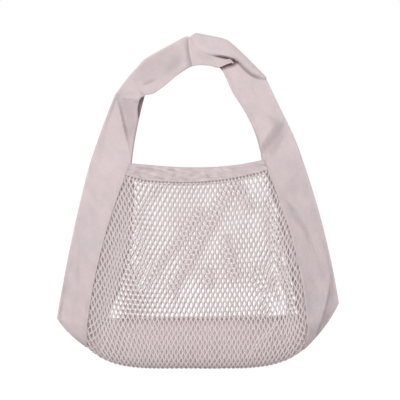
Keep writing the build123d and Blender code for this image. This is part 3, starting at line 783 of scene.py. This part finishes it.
def wireNet(name, point, inward, warp, first, last, scale):
    steps = 400
    pitch, rowHeight = netting["pitch"] * scale, netting["row"] * scale
    before = point(0.5, first)
    length = 0.0
    table = [(0.0, first)]
    for i in range(1, steps + 1):
        v = mix(first, last, i / steps)
        here = point(0.5, v)
        length += (here - before).length
        before = here
        table.append((length, v))

    def vAt(distance):
        distance = min(max(distance, 0), length)
        low, high = 0, steps
        while high - low > 1:
            middle = (low + high) // 2
            low, high = (middle, high) if table[middle][0] < distance else (low, middle)
        a, b = table[low], table[high]
        return mix(a[1], b[1], (distance - a[0]) / max(b[0] - a[0], 1e-9))

    rows = int(length / rowHeight)
    edges = {}

    def place(x, distance):
        v = vAt(distance)
        if v not in edges:
            edges[v] = (point(0, v).x, point(1, v).x)
        lowX, highX = edges[v]
        # the cells are narrower beside the seams
        beside = smooth((abs(x) + 46 - (highX if x > 0 else -lowX)) / 46) * (inward > 0)
        drawn = netting["gather"] * beside * smooth((0.8 - v) / 0.2) * smooth((v - 0.08) / 0.25)
        x -= math.copysign(drawn, x)
        u = (x - lowX) / (highX - lowX)
        p = point(min(max(u, 0), 1), v)
        dx, dz = warp(p.x, p.z)
        inside = smooth(min(u, 1 - u) * (highX - lowX) / 12)
        u2 = u + dx * inside / (highX - lowX)
        p = point(min(max(u2, 0), 1), vAt(distance - dz * inside))
        beyond = max(0, -u2, u2 - 1) * (highX - lowX)
        p.x += math.copysign(beyond, x) if beyond else 0
        near = smooth(1 - (min(u2, 1 - u2) * (highX - lowX)) / 5)
        p.y += inward * (bag["net"] / 2 + 2.2 * near + 0.3 * beyond)
        p.y += inward * 1.6 * noise.noise(Vector((p.x / 40, p.z / 40, 3.0 + inward * 9)))
        return p, u2 * (highX - lowX), (1 - u2) * (highX - lowX)

    def drop(u):
        return netting["selvedge"] * mix(0.5, 1, smooth(abs(u - 0.45) / 0.32))

    def belowEdge(p, u):
        # how far a point is under the first cord
        return point(u, shareFrom(point, u, 0, bandHeight(u) + drop(u))).z - p.z

    def overCloth(p, key):
        # the cords lie pressed on the base and on the side panels, and are painted darker there
        side = left if p.x < 0 else right
        overBase = smooth((rearMiddle + 6 - p.z) / 8)
        overSide = smooth((abs(p.x) - across(side["rear"], max(p.z, side["rearToe"]))) / 8)
        return max(netting[key][0] * overBase, netting[key][1] * overSide) * (inward > 0)

    points, lines, thick, dim = [], [], [], []

    def addPoint(p, size, dark=0.0):
        points.append(p)
        thick.append(size)
        dim.append(dark)
        return len(points) - 1

    reach = int(260 / pitch)
    jointAt, hug = netting["joint"], netting["hug"] * netting["radius"]
    for k in range(-2 * reach, 2 * reach):
        middle = (k + 0.5) * pitch / 2
        swing = pitch / 4 - hug
        chain, hiddenEnd = [], None
        for j in range(rows + 1):
            way = 1 if (j + k) % 2 else -1
            for phase, level, size in ((jointAt, 1.0, 1.06), (0.5, 0.0, 0.95), (1 - jointAt, -1.0, 1.06)):
                distance = (j + phase) * rowHeight
                if distance > length:
                    continue
                p, fromLeft, fromRight = place(middle + way * level * swing, distance)
                p.y += -inward * 0.3 * (1 if k % 2 else -1)
                if min(fromLeft, fromRight) < -netting["tuck"]:
                    if len(chain) > 1:
                        lines.append(chain)
                    chain, hiddenEnd = [], None
                    continue
                under = 1.0
                if j < 6:
                    under = belowEdge(p, min(max(fromLeft / (fromLeft + fromRight), 0), 1))
                if under < 0:
                    hiddenEnd = (p, under)
                    continue
                if hiddenEnd:
                    above, over = hiddenEnd
                    chain.append(addPoint(above.lerp(p, -over / (under - over)), size))
                    hiddenEnd = None
                chain.append(addPoint(p, size * (1 + overCloth(p, "pressed")), overCloth(p, "dim")))
        if len(chain) > 1:
            lines.append(chain)
    # the first cord, and the short ones that hold it to the band
    chain, edgeWidth = [], (point(1, 0.05) - point(0, 0.05)).length
    stubs = int(edgeWidth / netting["stub"])
    for i in range(4 * stubs + 1):
        u = mix(0.006, 0.994, i / (4 * stubs))
        p = point(u, shareFrom(point, u, 0, bandHeight(u) + drop(u) + 0.35 * math.cos(i * math.pi / 2)))
        p.y += inward * bag["net"] / 2
        chain.append(addPoint(p, 0.72))
        if i % 4 == 0:
            above = point(u, shareFrom(point, u, 0, bandHeight(u) - 1.5))
            above.y -= inward * 0.8
            # the short cords are painted a little paler (a shade below 0)
            lines.append([addPoint(above, 1.2, -0.12), addPoint(p.lerp(above, 0.1), 1.2, -0.12)])
    lines.append(chain)
    joints = []
    for j in range(1, rows + 1):
        for k in range(-2 * reach, 2 * reach):
            if (j + k) % 2 == 0:
                p, fromLeft, fromRight = place(k * pitch / 2, j * rowHeight)
                share = min(max(fromLeft / (fromLeft + fromRight), 0), 1)
                if min(fromLeft, fromRight) > -1 and (j > 5 or belowEdge(p, share) > 0.5):
                    joints.append(p)
    wire = bpy.data.meshes.new(name)
    pairs = [(a, b) for line in lines for a, b in zip(line, line[1:])]
    wire.from_pydata([p * 0.001 for p in points + joints], pairs, [])
    plain = [0.0] * len(thick)
    for label, onCords, onJoints in (("thick", thick, 1.0), ("shade", dim, 0.0), ("joint", plain, 1.0)):
        addValues(wire, label, onCords + [onJoints] * len(joints))
    return addObject(name, wire)


def newTree(name, sockets):
    tree = bpy.data.node_groups.new(name, "GeometryNodeTree")
    tree.interface.new_socket("Geometry", in_out="INPUT", socket_type="NodeSocketGeometry")
    tree.interface.new_socket("Geometry", in_out="OUTPUT", socket_type="NodeSocketGeometry")
    for label, kind in sockets:
        tree.interface.new_socket(label, in_out="INPUT", socket_type="NodeSocket" + kind)
    return tree, addNode(tree, "NodeGroupInput"), addNode(tree, "NodeGroupOutput")


def applyTree(piece, tree, values):
    modifier = piece.modifiers.new("build", "NODES")
    modifier.node_group = tree
    for item in tree.interface.items_tree:
        if item.in_out == "INPUT" and item.name in values:
            modifier[item.identifier] = values[item.name]
    return settle(piece)


def finishTree(tree, geometry, given, output):
    real = result(tree, "GeometryNodeRealizeInstances", {"Geometry": geometry})
    soft = result(tree, "GeometryNodeSetShadeSmooth", {"Geometry": real})
    clad = result(tree, "GeometryNodeSetMaterial", {"Geometry": soft, "Material": given.outputs["Material"]})
    tree.links.new(clad, output.inputs[0])


def netTree():
    tree, given, output = newTree("knotlessNetting", [
        ("Cord Radius", "Float"), ("Flatness", "Float"), ("Joint Size", "Float"), ("Sides", "Int"),
        ("Seed", "Int"), ("Material", "Material")])
    asked = given.outputs
    wires = result(tree, "GeometryNodeMeshToCurve", {"Mesh": asked["Geometry"]})
    # the cord's thin way faces the front, so that it lies flat in the netting
    lines = result(tree, "GeometryNodeSetCurveNormal", {"Curve": wires, "Normal": (0, -1, 0)}, mode="FREE")
    thick, joint = [result(tree, "GeometryNodeInputNamedAttribute", {"Name": name}, data_type="FLOAT")
                    for name in ("thick", "joint")]
    uneven = addNode(tree, "FunctionNodeRandomValue", {2: 0.92, 3: 1.08, "Seed": asked["Seed"]},
                     data_type="FLOAT").outputs[1]
    size = calc(tree, "MULTIPLY", calc(tree, "MULTIPLY", thick, asked["Cord Radius"]), uneven)
    where = addNode(tree, "GeometryNodeSplineParameter").outputs
    ring = result(tree, "GeometryNodeCurvePrimitiveCircle", {"Resolution": asked["Sides"], "Radius": 1.0})
    flat = result(tree, "ShaderNodeCombineXYZ", {0: asked["Flatness"], 1: 1.0, 2: 1.0})
    oval = result(tree, "GeometryNodeTransform", {"Geometry": ring, "Scale": flat})
    measured, marked = [
        result(tree, "GeometryNodeStoreNamedAttribute", {"Geometry": curve, "Name": name, "Value": value},
               data_type="FLOAT", domain="POINT")
        for curve, name, value in ((lines, "along", where["Length"]), (oval, "around", where["Factor"]))]
    cords = result(tree, "GeometryNodeCurveToMesh", {"Curve": measured, "Profile Curve": marked,
                   "Scale": size, "Fill Caps": True})
    isJoint = result(tree, "FunctionNodeCompare", {0: joint, 1: 0.5}, data_type="FLOAT",
                     operation="GREATER_THAN")
    knot = result(tree, "GeometryNodeMeshIcoSphere", {"Radius": asked["Joint Size"], "Subdivisions": 1})
    shaped = result(tree, "GeometryNodeTransform", {"Geometry": knot, "Scale": (1.0, 0.6, 1.15)})
    turned = result(tree, "FunctionNodeRandomValue", {0: (-0.2, -0.5, -0.2), 1: (0.2, 0.5, 0.2),
                    "Seed": asked["Seed"]}, data_type="FLOAT_VECTOR")
    spots = result(tree, "GeometryNodeInstanceOnPoints", {"Points": asked["Geometry"], "Selection": isJoint,
                   "Instance": shaped, "Rotation": turned})
    joined = addNode(tree, "GeometryNodeJoinGeometry")
    for part in (cords, spots):
        tree.links.new(part, joined.inputs[0])
    finishTree(tree, joined.outputs[0], given, output)
    return tree


knotless = netTree()
nets = {}
for name, point, inward, warp, first, node, scale, seed in (
        ("frontNetting", frontPoint, 1, frontWarp, 0.0136, "netting_front", 1.0, 11),
        ("backNetting", rearPoint, -1, rearWarp, 0.0169, "netting_back", 1.031, 23)):
    piece = wireNet(name, point, inward, warp, first, 0.995, scale)
    applyTree(piece, knotless, {
        "Cord Radius": netting["radius"] * 0.001, "Flatness": netting["flatness"],
        "Joint Size": netting["binding"] * 0.001, "Sides": 6, "Seed": seed, "Material": netCotton})
    nets[name] = (piece, node)
    print(name, "has", len(piece.data.polygons), "faces")


# Base panel.

base = {"rows": 26, "columns": 110, "hem": 4.0, "hemSteps": 2}


def offMiddleFold(p):
    # how far a point is from the soft fold near the middle
    return abs(p.x + 12 - 0.06 * p.z)


# painted light on the base behind the netting, more of it higher up, and painted shade along the soft middle
# fold and towards the right end
def baseShade(p):
    height, fold, end = smooth((p.z - 22) / 20), max(0, 1 - offMiddleFold(p) / 4), smooth((p.x - 60) / 60)
    return netting["paler"] - 0.16 * height + 0.2 * fold + 0.22 * end


def basePlace(u, v):
    end = abs(2 * u - 1) ** 8
    ease = (0.4 + 1.2 * end) / 45
    p = basePoint(u, mix(ease, 1 - ease, v))
    inside = smooth(min(u, 1 - u) * 12) * smooth(min(v, 1 - v) * 5)
    slack = 2.2 * ripple(p.x * 1.2, p.z * 2 + p.y, 61) * inside
    slack += 2.5 * max(0, 1 - offMiddleFold(p) / 5) ** 2 * inside
    p.x -= math.copysign(1.8 * end * v**4, p.x)
    p.y -= slack * v
    p.z += slack * (1 - v) * 0.6
    return p


def panelLine(side, w, v):
    a, b = frontSeam(side, v), rearSeam(side, v)
    middle = -a.y / (b.y - a.y)
    height = mix(a.z, b.z, middle)
    fold = Vector((side["sign"] * across(side["fold"], height), 0, height))
    return fold.lerp(b, (w - middle) / (1 - middle)) if w > middle else a.lerp(fold, w / middle)


def baseGrid():
    # past its seams the cloth goes on as a hem, which lies inside the netting and the side panels
    points, weave = [], []
    steps, hem = base["hemSteps"], base["hem"]
    for i in range(base["rows"] + 1 + steps):
        for j in range(-steps, base["columns"] + 1 + steps):
            u = min(max(j / base["columns"], 0), 1)
            v = min(i / base["rows"], 1)
            p = basePlace(u, v)
            above = max(0, i - base["rows"]) / steps
            beyond = max(0, -j, j - base["columns"]) / steps
            if above:
                side = rearPoint(u, shareFrom(rearPoint, u, 1, hem * above))
                p = Vector((p.x, side.y - 2.4, side.z + 0.4))
            if beyond:
                side = left if j < 0 else right
                share = shareFrom(lambda _, t: panelLine(side, v, t), 0, 1, hem * beyond)
                q = panelLine(side, v, share)
                p = Vector((q.x - side["sign"] * 0.8, q.y - 1.6, q.z + 0.6 + hem * above * 0.6))
            points.append(p)
            weave.append((p.x, v * 90 + above * hem))
    return points, weave


points, weave = baseGrid()
faces = gridFaces(base["rows"] + 1 + base["hemSteps"], base["columns"] + 1 + 2 * base["hemSteps"], flip=True)
basePanel = makeMesh("basePanel", points, faces, panelCotton, weave, [0.0] * len(points),
                     [baseShade(p) for p in points])
thicken(basePanel, bag["cloth"])
print("base panel ready")


# Mouth bands, folded over the top edge of the netting.

band = {
    # puckers, pressed in and darkened with painted shade: line, width above it and below it, depth
    "puckers": [([(-99, 331), (-80, 326.5), (-62.7, 323.4)], 3, 4, 1.1),
                ([(-52.8, 325.9), (-31.4, 322.6)], 2.5, 3.5, 1.0),
                ([(9, 321), (21.5, 308.6)], 3.5, 3.5, 0.9), ([(-100.7, 320), (-90, 309)], 3.5, 4, 0.6),
                ([(-75, 312), (-50, 309)], 4, 3, 0.5), ([(40, 329), (78, 322)], 4, 3.5, 0.4),
                ([(84, 335), (112, 333)], 4, 3.5, 0.4)],
    "layer": 1.0, "gap": 0.35, "columns": 150, "heightSteps": 16, "turn": 7, "innerDrop": 5.5, "endLap": 2.6,
}


def bandGrid(point, inward, seed):
    points, weave, wear, shade = [], [], [], []
    columns = band["columns"]
    front, back = -(band["gap"] + band["layer"]), bag["net"] + band["gap"] + band["layer"]
    middle, radius = (front + back) / 2, (back - front) / 2
    for i in range(columns + 1):
        u = i / columns
        height = bandHeight(u)
        low, high = point(u, shareFrom(point, u, 0, height)), point(u, 0)
        down = point(u, shareFrom(point, u, 0, height + band["innerDrop"]))
        reachOut = band["endLap"] * (abs(2 * u - 1) ** 40) * (1 if u > 0.5 else -1)
        for p in (low, high, down):
            p.x += reachOut
        up = (high - low).normalized()
        shoulder = high - up * radius
        row, hidden = [], []
        for j in range(band["heightSteps"] + 1):
            t = j / band["heightSteps"]
            p = low.lerp(shoulder, t)
            # lens-shaped puckers that slant along the band, and short pulls at its lower edge
            slant = p.x + 1.6 * (p.z - high.z)
            pucker = 3.6 * noise.noise(Vector((slant / 17, p.z / 5, seed)))
            pucker += 1.6 * noise.noise(Vector((slant / 8, p.z / 3.4, seed + 3)))
            pull = 0.9 * noise.noise(Vector((p.x / 4.5, 0, seed + 8))) * (1 - t) ** 2
            lift = (pucker * math.sin(math.pi * min(1, t * 0.9 + 0.1)) + pull) + 0.5 * math.sin(math.pi * t)
            pressed = shadeNear(p.x, p.z, band["puckers"])
            p.y += inward * (front - 1.0 - max(lift - 2.0 * pressed, -1.6))
            # painted shade: in the puckers, in streaks along the band, a little overall, and more towards its
            # left end
            uneven = noise.noise(Vector((slant / 11, p.z / 3.2, seed + 5)))
            hidden.append(0.16 * pressed + 0.25 * uneven + 0.01 + 0.05 * smooth((0.32 - u) / 0.2))
            row.append(p)
        for j in range(1, band["turn"]):
            turn = math.pi * j / band["turn"]
            p = shoulder + up * (radius * math.sin(turn))
            p.y += inward * (middle - radius * math.cos(turn))
            row.append(p)
        for j in range(band["heightSteps"] + 1):
            p = shoulder.lerp(down, j / band["heightSteps"])
            p.y += inward * (back + 0.5 * math.sin(math.pi * j / band["heightSteps"]) + 0.2)
            row.append(p)
        passed = 0.0
        for j, p in enumerate(row):
            passed += (p - row[j - 1]).length if j else 0
            points.append(p)
            weave.append((p.x, passed))
            wear.append(max(0.0, 1 - abs(passed - height) / 4) * 0.6 + max(0.0, 0.5 - passed / 3))
        shade += hidden + [0.0] * (len(row) - len(hidden))
    return points, weave, wear, shade, columns + 1, 2 * band["heightSteps"] + 2 + band["turn"] - 1


bands = {}
for name, point, inward, node, seed in (("frontMouthBand", frontPoint, 1, "mouth_band_front", 5.0),
                                        ("backMouthBand", rearPoint, -1, "mouth_band_back", 15.0)):
    points, weave, wear, shade, rows, columns = bandGrid(point, inward, seed)
    piece = makeMesh(name, points, gridFaces(rows, columns, flip=inward < 0), bandCotton, weave, wear, shade)
    thicken(piece, band["layer"] * 0.95)
    bands[name] = (piece, node)
print("mouth bands ready")


# Taped seams inside.

# half is half its thickness folded, start its distance from the seam, below how far under the mouth it begins
tape = {
    "width": 8.0, "half": 0.9, "start": 2.5, "below": 26,
    "section": [(0, -1), (0.35, -1), (0.7, -1), (0.92, -0.85), (1, 0), (0.92, 0.85), (0.7, 1), (0.35, 1),
                (0, 1)],
}


def tapeGrid(path, reach, aside):
    points, weave, passed = [], [], 0.0
    for i, p in enumerate(path):
        passed += (p - path[i - 1]).length if i else 0
        wave = 0.6 * noise.noise(Vector((passed / 30, 4.0, 8.0)))
        for deep, wide in tape["section"]:
            points.append(p + reach * (tape["start"] + deep * tape["width"])
                          + aside * (wide * tape["half"] + wave * deep))
            weave.append((deep * tape["width"] * (1 if wide < 0 else -1), passed))
    return points, weave


def addTape(name, path, reach, aside, node, flip):
    points, weave = tapeGrid(path, reach, aside)
    faces = gridFaces(len(path), len(tape["section"]), flip=flip)
    piece = makeMesh(name, points, faces, tapeCotton, weave, [0.0] * len(points))
    thicken(piece, 0.5)
    length = sum((b - a).length for a, b in zip(path, path[1:]))
    tapes.append((piece, node, round(length * 0.001, 3)))


tapes = []
for label, side in (("Left", left), ("Right", right)):
    for place, seam, inward, end in (("front", frontSeam, 1, 0.72), ("back", rearSeam, -1, 0.8)):
        # near the mouth the front seam falls by 1.5 times its whole drop for each unit of its share
        start = tape["below"] / (1.5 * (side["mouth"] - side["toe"]))
        path = [seam(side, mix(start, end, i / 60)) for i in range(61)]
        for p in path:
            p.x -= side["sign"] * bag["seamGap"] / 2
        addTape(f"{place}{label}SeamTape", path, Vector((0, inward, 0)), Vector((1, 0, 0)),
                f"seam_tape_{place}_{label.lower()}", flip=inward < 0)
for place, point, reach, aside in (("front", frontPoint, Vector((0, 0, 1)), Vector((0, -1, 0))),
                                   ("back", rearPoint, Vector((0, -1, 0)), Vector((0, 0, -1)))):
    path = [point(mix(0.08, 0.92, i / 70), 1) for i in range(71)]
    addTape(f"{place}BaseTape", path, reach, aside, f"base_tape_{place}", flip=False)
print("seam tapes ready")


# Stitching.

stitching = {"length": 2.6, "pitch": 3.4, "radius": 0.28}
tack = {"long": 9, "wide": 2.4, "turns": 22, "pitch": 0.9, "radius": 0.3}


def stitchTree():
    tree, given, output = newTree("lockstitch", [("Stitch Length", "Float"), ("Pitch", "Float"),
                                  ("Thread Radius", "Float"), ("Seed", "Int"), ("Material", "Material")])
    asked = given.outputs
    line = result(tree, "GeometryNodeMeshToCurve", {"Mesh": asked["Geometry"]})
    spots = addNode(tree, "GeometryNodeCurveToPoints", {"Curve": line, "Length": asked["Pitch"]},
                    mode="LENGTH").outputs
    bead = result(tree, "GeometryNodeMeshIcoSphere", {"Radius": asked["Thread Radius"], "Subdivisions": 1})
    ratio = calc(tree, "MULTIPLY", calc(tree, "DIVIDE", asked["Stitch Length"], asked["Thread Radius"]), 0.5)
    size = result(tree, "ShaderNodeCombineXYZ", {0: 1.0, 1: 1.0, 2: ratio})
    stitch = result(tree, "GeometryNodeTransform", {"Geometry": bead, "Scale": size})
    tilt = result(tree, "FunctionNodeRandomValue", {0: (-0.05, -0.05, 0), 1: (0.05, 0.05, 0),
                  "Seed": asked["Seed"]}, data_type="FLOAT_VECTOR")
    turned = result(tree, "FunctionNodeRotateRotation", {0: spots["Rotation"], 1: tilt},
                    rotation_space="LOCAL")
    placed = result(tree, "GeometryNodeInstanceOnPoints", {"Points": spots[0], "Instance": stitch,
                    "Rotation": turned})
    finishTree(tree, placed, given, output)
    return tree


def stitchLines(name, paths, seed, length=stitching["length"], pitch=stitching["pitch"],
                radius=stitching["radius"]):
    points, edges = [], []
    for path in paths:
        start = len(points)
        points += [p * 0.001 for p in path]
        edges += [(i, i + 1) for i in range(start, len(points) - 1)]
    wire = bpy.data.meshes.new(name)
    wire.from_pydata(points, edges, [])
    return applyTree(addObject(name, wire), lockstitch, {
        "Stitch Length": length * 0.001, "Pitch": pitch * 0.001, "Thread Radius": radius * 0.001,
        "Seed": seed, "Material": sewingThread})


def stripPath(grid, distance, front, firstRow, lastRow):
    path = []
    for row in grid[firstRow:lastRow]:
        half = len(row) // 2
        line = row[:half] if front else row[half + 1:][::-1]
        passed = 0.0
        for a, b in zip(line, line[1:]):
            step = (b - a).length
            if passed + step >= distance:
                p = a.lerp(b, (distance - passed) / step)
                p.y += -0.15 if front else 0.15
                path.append(p)
                break
            passed += step
    return path


lockstitch = stitchTree()
strapPaths = []
for strip, last in ((leftStrip, 222), (rightStrip, 252)):
    grid = grids[strip["name"]]
    first = stripRows["lower"] + 2
    for front in (True, False):
        strapPaths.append(stripPath(grid, 4.6, front, first, last))
strapStitches = stitchLines("strapHemStitches", strapPaths, seed=3)
seamPaths = []
for strip in (leftStrip, rightStrip):
    for front in (True, False):
        for distance in (1.6, 4.8):
            seamPaths.append(stripPath(grids[strip["name"]], distance, front, 4, stripRows["lower"] + 2))
seamStitches = stitchLines("sideSeamStitches", seamPaths, seed=5)


def bandPath(point, inward, heightShare):
    path = []
    for i in range(121):
        u = mix(0.012, 0.988, i / 120)
        height = bandHeight(u)
        low, high = point(u, shareFrom(point, u, 0, height)), point(u, 0)
        p = low.lerp(high, heightShare)
        p.y += inward * -(band["gap"] + band["layer"] + 0.35)
        path.append(p)
    return path


bandPaths = [bandPath(frontPoint, 1, 0.09), bandPath(rearPoint, -1, 0.09)]
bandStitches = stitchLines("bandStitches", bandPaths, seed=7)
basePaths = []
for point, dy, dz in ((frontPoint, 2.0, -0.2), (rearPoint, 0.3, -2.0)):
    path = [point(mix(0.03, 0.97, i / 160), 1) for i in range(161)]
    basePaths.append([p + Vector((0, dy, dz)) for p in path])
baseStitches = stitchLines("baseSeamStitches", basePaths, seed=9)


def tackPath(centre, along, sideways, outward):
    path = []
    for i in range(tack["turns"] + 1):
        swing = (0.5 if i % 2 else -0.5) * tack["wide"]
        run = (i / tack["turns"] - 0.5) * tack["long"]
        path.append(centre + along * run + sideways * swing + outward * 0.3)
    return path


toFront = Vector((0, -1, 0))
lapPaths = [tackPath(Vector(place), Vector((0.71, 0, -0.71)), Vector((0.71, 0, 0.71)), toFront)
            for place in ((54.5, -8.9, 503.45), (88.5, -7.4, 496.05))]
lapTacks = stitchLines("strapLapTacks", lapPaths, 13, 2.6, tack["pitch"], tack["radius"])
cornerPaths = []
for point, inward in ((frontPoint, 1), (rearPoint, -1)):
    for u in (0.0165, 0.9835):
        low, high = point(u, shareFrom(point, u, 0, bandHeight(u))), point(u, 0)
        centre = (low + high) / 2
        centre.y -= inward * (band["gap"] + band["layer"] + 0.5)
        cornerPaths.append(tackPath(centre, (high - low).normalized(), Vector((1, 0, 0)), toFront * inward))
mouthTacks = stitchLines("mouthCornerTacks", cornerPaths, 17, 2.4, tack["pitch"], tack["radius"])
print("stitching ready")


# Bodies and replaced solids. Flat sizes and areas of the sheets are set below, but nothing uses them. A flat
# size is the widest row and the mean line of the piece laid out, in metres, or the longest line for the
# nettings and the base panel. The area is that of the built cloth.

for strip, flat, area in ((leftStrip, (0.164, 0.646), 0.0782), (rightStrip, (0.151, 0.515), 0.0610)):
    piece = strip["piece"]
    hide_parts(*strip["nodes"])
    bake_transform(piece)
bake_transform(strapStitches)
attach(lapPiece, "shoulder")
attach(lapTacks, "shoulder")
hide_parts("strap_lap_tacks")
for name, (piece, node) in nets.items():
    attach(piece, "bag")
    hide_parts(node)
    flat, area = ((0.369, 0.349), 0.1076) if "front" in name else ((0.320, 0.270), 0.0674)
for name, (piece, node) in bands.items():
    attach(piece, "bag")
    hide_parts(node)
    flat, area = ((0.062, 0.231), 0.0125) if "front" in name else ((0.062, 0.226), 0.0121)
for piece, node, length in tapes:
    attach(piece, "bag")
    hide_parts(node)
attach(basePanel, "bag")
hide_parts("base_panel")
for piece in (seamStitches, bandStitches, baseStitches):
    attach(piece, "bag")
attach(mouthTacks, "bag")
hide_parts("mouth_corner_tacks")

scene = bpy.context.scene
scene.view_settings.view_transform = "Standard"
print("pieces placed")
